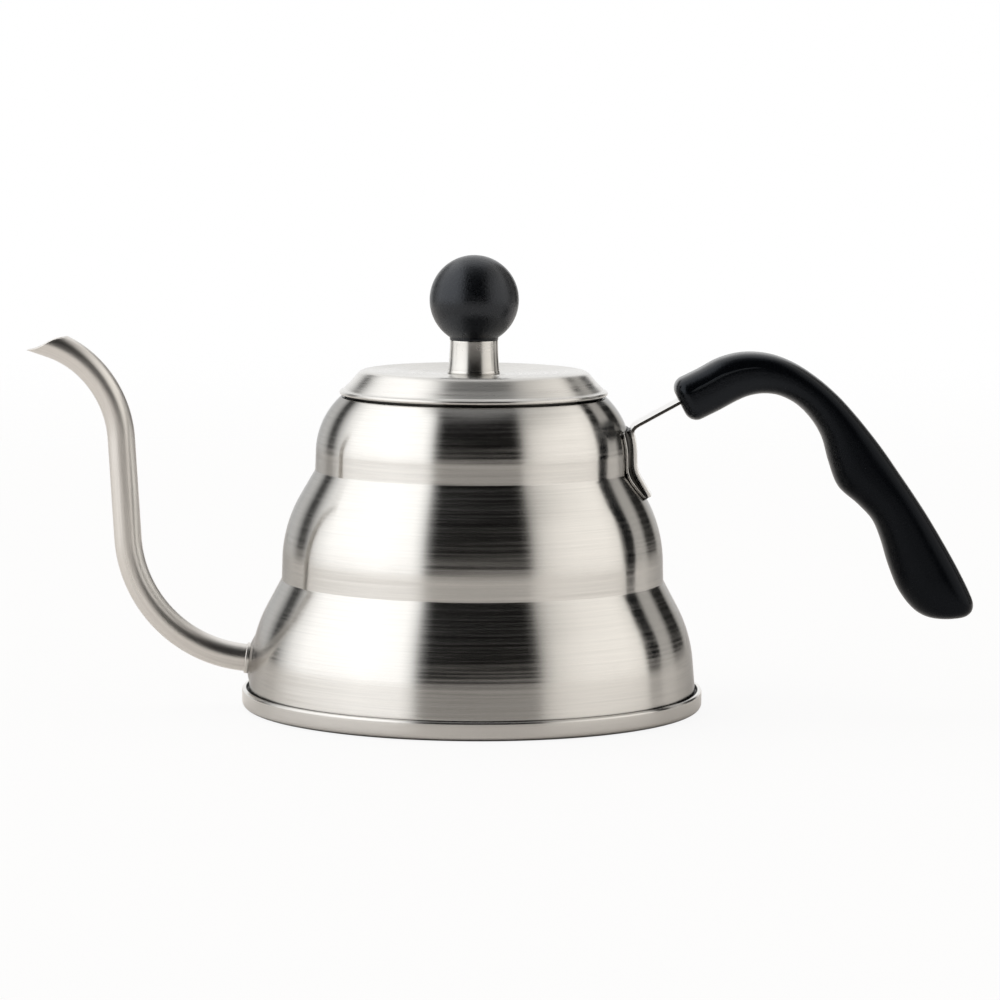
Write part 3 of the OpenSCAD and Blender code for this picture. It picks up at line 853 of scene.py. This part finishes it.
def sectionTurns():
    # angles that space points evenly round a typical section, with extra ones on the seam
    d = gripDims
    dense = [2 * math.pi * k / 2000 for k in range(2001)]
    points = [(7 * powered(math.cos(a), d["power"]), 9 * powered(math.sin(a), d["power"])) for a in dense]
    lengths = [0.0]
    for p, q in zip(points, points[1:]):
        lengths.append(lengths[-1] + math.dist(p, q))
    turns = []
    k = 0
    for i in range(d["sides"]):
        target = lengths[-1] * i / d["sides"]
        while lengths[k] < target:
            k += 1
        turns.append(dense[k])
    for offset in (-2.2, -1.1, -0.5, 0.0, 0.5, 1.1, 2.2):
        a = math.acos((d["seamPlace"] + offset * d["seamWidth"]) ** (d["power"] / 2))
        turns += [a, 2 * math.pi - a]
    return sorted(set(turns))


def gripRing(inner, outer, wide, seam, turns, innerPower):
    # one section between an inner and an outer point of the side view, rounder on its inner side
    d = gripDims
    middle = (Vector(inner) + Vector(outer)) / 2
    reach = (Vector(outer) - Vector(inner)) / 2
    ring = []
    for a in turns:
        power = d["power"] if math.cos(a) > 0 else innerPower
        u = powered(math.cos(a), power)
        y = wide / 2 * powered(math.sin(a), power)
        if abs(math.sin(a)) > 0.5:
            y += math.copysign(seam * math.exp(-((u - d["seamPlace"]) / d["seamWidth"]) ** 2), y)
        place = middle + reach * u
        ring.append(Vector((place.x * mm, y * mm, place.y * mm)))
    return ring


def handleGrip():
    d = gripDims
    turns = sectionTurns()
    stations = d["stations"]
    frontSlope = math.radians(d["frontDeg"])
    ahead = Vector((math.cos(frontSlope), math.sin(frontSlope)))
    rows = []
    for i, (x, z, thick) in enumerate(stations):
        a, b = stations[max(0, i - 1)], stations[min(len(stations) - 1, i + 1)]
        run = Vector((b[0] - a[0], b[1] - a[1])).normalized() if i else ahead
        up = Vector((-run.y, run.x)) * thick / 2
        widen = smoothStep((i - d["widenFrom"]) / d["widenOver"])
        width = d["frontWidth"] + (d["heelWidth"] - d["frontWidth"]) * widen
        rows.append((x - up.x, z - up.y, x + up.x, z + up.y, width))
    rows += d["heel"]
    fine = []
    for i in range(len(rows) - 1):
        for k in range(d["perSpan"]):
            fine.append(curveThrough(rows, i, k / d["perSpan"]))
    fine.append(list(rows[-1]))

    # the front end: its rim is rounded all round
    rings = []
    x, z, thick = stations[0]
    up = Vector((-ahead.y, ahead.x))
    for i in range(d["frontRows"]):
        a = math.pi / 2 * (i + 0.15) / d["frontRows"]
        shrink = d["frontRound"] * (1 - math.sin(a))
        place = Vector((x, z)) - ahead * d["frontRound"] * math.cos(a)
        reach = up * (thick / 2 - shrink)
        width = d["frontWidth"] - 2 * shrink
        rings.append(gripRing(place - reach, place + reach, width, 0.0, turns, d["power"]))
    for innerX, innerZ, outerX, outerZ, width in fine:
        middle = (innerX + outerX) / 2
        grow = smoothStep((middle - d["seamFrom"]) / (d["seamFull"] - d["seamFrom"]))
        fade = smoothStep((middle - d["seamFade"]) / (d["seamTo"] - d["seamFade"]))
        soft = smoothStep((middle - d["softFrom"]) / d["softOver"])
        power = d["power"] + (d["innerPower"] - d["power"]) * soft
        seam = d["seam"] * grow * (1 - fade)
        rings.append(gripRing((innerX, innerZ), (outerX, outerZ), width, seam, turns, power))
    return skinned("handleGrip", rings)


placed(handleGrip(), "kettle", "phenolic", gripPhenolic, "handle_grip")
print("grip done")


# lid: pressed cover, skirt, sleeve and ball
coverLow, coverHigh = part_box("lid_cover")
skirtLow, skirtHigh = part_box("lid_skirt")
stemLow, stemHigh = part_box("knob_stem")
ballLow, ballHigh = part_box("knob_ball")
lidDims = {
    "sheet": 0.7 * mm, "bead": 0.68 * mm, "beadRise": 0.75 * mm, "edgeRound": 3.2 * mm, "edgeInset": 8.0 * mm,
    "dish": 1.2 * mm, "dishSteps": ((20 * mm, 0.42 * mm), (27 * mm, 0.82 * mm)),
    "coneEnd": (38.1 * mm, 101.0 * mm), "flareEnd": (40.05 * mm, 99.02 * mm),
    "bossRadius": 10.2 * mm, "bossRise": 0.25 * mm, "bossSlope": 0.8 * mm, "hole": 2.75 * mm,
    "edgeFrom": 86, "edgeTo": 42, "cornerRound": 0.5 * mm, "dishRound": 20 * mm, "flareRound": 5 * mm,
    "underSeat": 0.4 * mm, "step": 0.9 * mm, "segments": 224,
}


def lidOutline():
    d = lidDims
    top = coverHigh.z
    edge = (coverHigh.x - d["edgeInset"], top - d["edgeRound"])
    bead = (coverHigh.x - d["bead"], coverLow.z + d["beadRise"])
    dish = top - d["dish"]
    boss = dish + d["bossRise"]
    line = [(d["hole"], boss), (d["bossRadius"] - d["bossSlope"], boss), (d["bossRadius"], dish)]
    line += [(r, dish + rise) for r, rise in d["dishSteps"]]
    line = roundCorners(line, {1: d["cornerRound"], 2: d["cornerRound"], 3: d["dishRound"]}, 5)
    line += arcPoints(edge, d["edgeRound"], d["edgeFrom"], d["edgeTo"], 10)
    line += [d["coneEnd"], d["flareEnd"]]
    corner = len(line) - 1
    line += arcPoints(bead, d["bead"], 96, -180, 26)
    line = roundCorners(line, {corner: d["cornerRound"], corner - 1: d["flareRound"]}, 5)
    under = d["edgeRound"] - d["sheet"]
    line += [(bead[0] - d["bead"], bead[1] + d["underSeat"])]
    line += arcPoints(edge, under, d["edgeTo"], d["edgeFrom"], 8)
    line += [(d["bossRadius"], dish - d["sheet"]), (d["hole"], dish - d["sheet"])]
    return fineLine(line, d["step"])


placed(spun("lidCover", lidOutline(), lidDims["segments"]), "lid", "lid_steel", steel["lid"], "lid_cover")

skirtDims = {
    "wall": 0.6 * mm, "curl": 0.75 * mm, "curlTop": 1.5 * mm, "step": 0.9 * mm,
    "vents": 4, "ventDrop": 3.6 * mm, "ventRadius": 2 * mm, "drill": 4 * mm,
}


def skirtOutline():
    d = skirtDims
    out, curl = skirtHigh.x, d["curl"]
    bend = skirtLow.z + d["curlTop"]
    line = [(out - d["wall"], skirtHigh.z), (out - d["wall"], bend)]
    line += arcPoints((out - curl, skirtLow.z + curl), curl, 150, 390, 18)
    line += [(out, bend), (out, skirtHigh.z)]
    return fineLine(line, d["step"])


lidSkirt = placed(spun("lidSkirt", skirtOutline(), 192), "lid", "lid_steel", steel["lid"], "lid_skirt")
ventHeight = Vector((0, 0, coverLow.z - skirtDims["ventDrop"]))
for i in range(skirtDims["vents"]):
    a = 2 * math.pi * (i + 0.5) / skirtDims["vents"]
    out = Vector((math.cos(a), math.sin(a), 0))
    start = out * (skirtHigh.x - skirtDims["drill"]) + ventHeight
    cutHole(lidSkirt, start, out, skirtDims["ventRadius"], 2 * skirtDims["drill"])

stemDims = {
    "top": 7.45 * mm, "bore": 3.1 * mm, "gap": 0.02 * mm, "foot": 1.05 * mm, "chamfer": 0.16 * mm,
    "chamferTop": 1.2 * mm, "flareFrom": 1.3 * mm, "flare": 1.8, "rows": 8,
    "footRound": 0.15 * mm, "topRound": 0.2 * mm, "step": 0.6 * mm,
}


def stemOutline():
    d = stemDims
    foot, bore = stemHigh.x, d["bore"]
    low, high = stemLow.z + d["gap"], stemHigh.z
    waist = foot - d["chamfer"]
    line = [(bore, low), (foot, low), (foot, low + d["foot"]), (waist, low + d["chamferTop"])]
    for i in range(d["rows"] + 1):
        t = i / d["rows"]
        r = waist - (waist - d["top"]) * (1 - (1 - t) ** d["flare"])
        line.append((r, low + d["flareFrom"] + (high - low - d["flareFrom"]) * t))
    line.append((bore, high))
    line = roundCorners(line, {1: d["footRound"], len(line) - 2: d["topRound"]}, 4)
    return fineLine(line, d["step"])


placed(spun("knobStem", stemOutline(), 128), "lid", "stem_steel", steel["stem"], "knob_stem")

ballDims = {
    "neck": 7.5 * mm, "neckRise": 0.75 * mm, "neckStep": 0.25 * mm, "edgeRound": 0.15 * mm,
    "bore": 4.05 * mm, "boreDepth": 3 * mm,
}


def ballOutline():
    d = ballDims
    radius = ballHigh.x
    middle = ballHigh.z - radius
    low = ballLow.z
    deep = low + d["boreDepth"]
    startDeg = -math.degrees(math.acos((d["neck"] + d["neckStep"]) / radius))
    line = [(0.0, deep), (d["bore"], deep), (d["bore"], low), (d["neck"], low)]
    line.append((d["neck"], low + d["neckRise"]))
    line = roundCorners(line, {3: d["edgeRound"]}, 3)
    line += arcPoints((0.0, middle), radius, startDeg, 90, 72)
    line[-1] = (0.0, middle + radius)
    return line


ball = spun("knobBall", ballOutline(), 128, closed=False)
placed(ball, "lid", "phenolic", ballPhenolic, "knob_ball")
print("lid done")

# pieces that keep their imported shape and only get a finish
kept = {"grip_screws": steel["fastener"], "knob_screw": steel["fastener"], "knob_washer": steel["fastener"],
        "knob_lock_washer": steel["fastener"], "grip_inserts": brass, "knob_insert": brass}
for node, material in kept.items():
    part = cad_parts[node]
    part.data.materials.clear()
    part.data.materials.append(material)
print("hidden pieces done")


# set: pale floor, studio surroundings and camera
floorDims = {
    "centre": (0.0, -0.3, -0.0002), "radius": 2.3, "solidTo": 0.9, "goneBy": 1.9, "rings": 16,
    "color": (0.97, 0.93, 0.89), "glow": 0.05, "paleness": 0.9,
}


def paleFloor():
    d = floorDims
    line = [(d["radius"] * i / d["rings"], 0.0) for i in range(d["rings"] + 1)]
    floor = spun("floor", line, 96, closed=False)
    floor.location = d["centre"]
    material, tree, shader = nodeTree("paleFloor")
    place = addNode(tree, "ShaderNodeTexCoord").outputs["Object"]
    far = addNode(tree, "ShaderNodeVectorMath", {0: place}, operation="LENGTH").outputs["Value"]
    gone = mapped(tree, far, d["solidTo"], d["goneBy"], 0.0, 1.0, "SMOOTHSTEP")
    clear = addNode(tree, "ShaderNodeBsdfTransparent")
    # straight on, the sweep is lit up to a clean pale tone and keeps only a soft contact shadow
    lit = addNode(tree, "ShaderNodeEmission", {"Color": (1, 1, 1, 1)})
    seen = addNode(tree, "ShaderNodeLightPath").outputs["Is Camera Ray"]
    share = mathNode(tree, "MULTIPLY", seen, d["paleness"])
    sweep = addNode(tree, "ShaderNodeMixShader", {0: share, 1: shader.outputs[0], 2: lit.outputs[0]})
    mix = addNode(tree, "ShaderNodeMixShader", {0: gone, 1: sweep.outputs[0], 2: clear.outputs[0]})
    tree.links.new(mix.outputs[0], tree.nodes["Material Output"].inputs["Surface"])
    shader.inputs["Base Color"].default_value = (*d["color"], 1)
    shader.inputs["Roughness"].default_value = 0.75
    shader.inputs["Emission Color"].default_value = (*d["color"], 1)
    shader.inputs["Emission Strength"].default_value = d["glow"]
    floor.data.materials.append(material)


# brightness round the object by the way a surface faces, doubled: 0 faces the camera, 90 is on its right
around = [
    (-180, 1.0), (-152, 1.0), (-144, 0.85), (-138, 0.5), (-133, 0.07), (-126, 0.09), (-119, 0.7), (-110, 1.2),
    (-98, 1.5), (-60, 1.65), (-37, 1.5), (-32, 1.1), (-27, 0.2), (-23, 0.012), (0, 0.006), (30, 0.006),
    (34, 0.09), (39, 0.6), (45, 0.9), (54, 1.08), (66, 1.18), (90, 1.22), (102, 1.1), (106, 0.03),
    (114, 0.012), (118, 0.5), (129, 0.55), (135, 0.03), (149, 0.02), (155, 0.8), (166, 1.0), (180, 1.0),
]
worldLook = {
    # pairs of values are where on the sphere a tone starts and where it is full
    "lean": 0.9945, "warmth": (1.0, 0.968, 0.925), "warmAcross": (-0.1, 0.5),
    "dim": 0.38, "dimUp": (0.6, 0.86), "dimAcross": (0.02, 0.26), "zenith": 0.22, "zenithUp": (0.9, 0.985),
    "wall": 1.05, "wallAcross": (0.38, 0.24), "wallDeep": (0.02, 0.3), "wallUp": (-0.06, 0.04),
    "backdrop": 1.0,
}


def studioWorld():
    d = worldLook
    world = bpy.data.worlds.new("studio")
    scene.world = world
    world.use_nodes = True
    tree = world.node_tree
    place = addNode(tree, "ShaderNodeTexCoord").outputs["Generated"]
    x, y, z = addNode(tree, "ShaderNodeSeparateXYZ", {0: place}).outputs
    # the panels lean outwards with height, so that their edges stay upright on a domed body
    facing = mathNode(tree, "ARCTAN2", x, mathNode(tree, "SUBTRACT", d["lean"], y))
    turn = mathNode(tree, "ADD", mathNode(tree, "DIVIDE", facing, math.pi), 0.5)
    panels = rampNode(tree, turn, [((a + 180) / 360, v) for a, v in around])
    # the right-hand side is a little warmer, and dimmer high up
    warm = mixed(tree, mapped(tree, x, *d["warmAcross"], 0.0, 1.0), (1, 1, 1), d["warmth"])
    panels = mixed(tree, 1.0, panels, warm, "MULTIPLY")
    upper = mapped(tree, z, *d["dimUp"], 0.0, 1.0)
    dim = mathNode(tree, "MULTIPLY", upper, mapped(tree, x, *d["dimAcross"], 0.0, d["dim"]))
    dimmed = {0: panels, 3: mathNode(tree, "SUBTRACT", 1.0, dim)}
    panels = addNode(tree, "ShaderNodeVectorMath", dimmed, operation="SCALE").outputs[0]
    up = mapped(tree, z, *d["zenithUp"], 0.0, 1.0, "SMOOTHSTEP")
    dome = mixed(tree, up, panels, [d["zenith"]] * 3)
    # a plain wall straight behind, which the flat top of the lid shows
    wall = mapped(tree, mathNode(tree, "ABSOLUTE", x), *d["wallAcross"], 0.0, 1.0)
    wall = mathNode(tree, "MULTIPLY", wall, mapped(tree, y, *d["wallDeep"], 0.0, 1.0))
    wall = mathNode(tree, "MULTIPLY", wall, mapped(tree, z, *d["wallUp"], 0.0, 1.0))
    room = mixed(tree, wall, dome, [d["wall"]] * 3)
    seen = addNode(tree, "ShaderNodeLightPath").outputs["Is Camera Ray"]
    final = mixed(tree, seen, room, [d["backdrop"]] * 3)
    tree.links.new(final, tree.nodes["Background"].inputs["Color"])


cameraDims = {
    "place": (0.0, -1.2916, 0.2027), "tiltDown": 6.12, "roll": 0.36,
    "lens": 150.7, "sensor": 36.0, "shift": 0.027,
}


def addCamera():
    data = bpy.data.cameras.new("camera")
    data.lens = cameraDims["lens"]
    data.sensor_width = cameraDims["sensor"]
    data.shift_x = cameraDims["shift"]
    camera = bpy.data.objects.new("camera", data)
    scene.collection.objects.link(camera)
    tilt = Matrix.Rotation(math.radians(90 - cameraDims["tiltDown"]), 4, "X")
    roll = Matrix.Rotation(math.radians(cameraDims["roll"]), 4, "Z")
    camera.matrix_world = Matrix.Translation(cameraDims["place"]) @ tilt @ roll
    scene.camera = camera


paleFloor()
studioWorld()
addCamera()
print("set done")
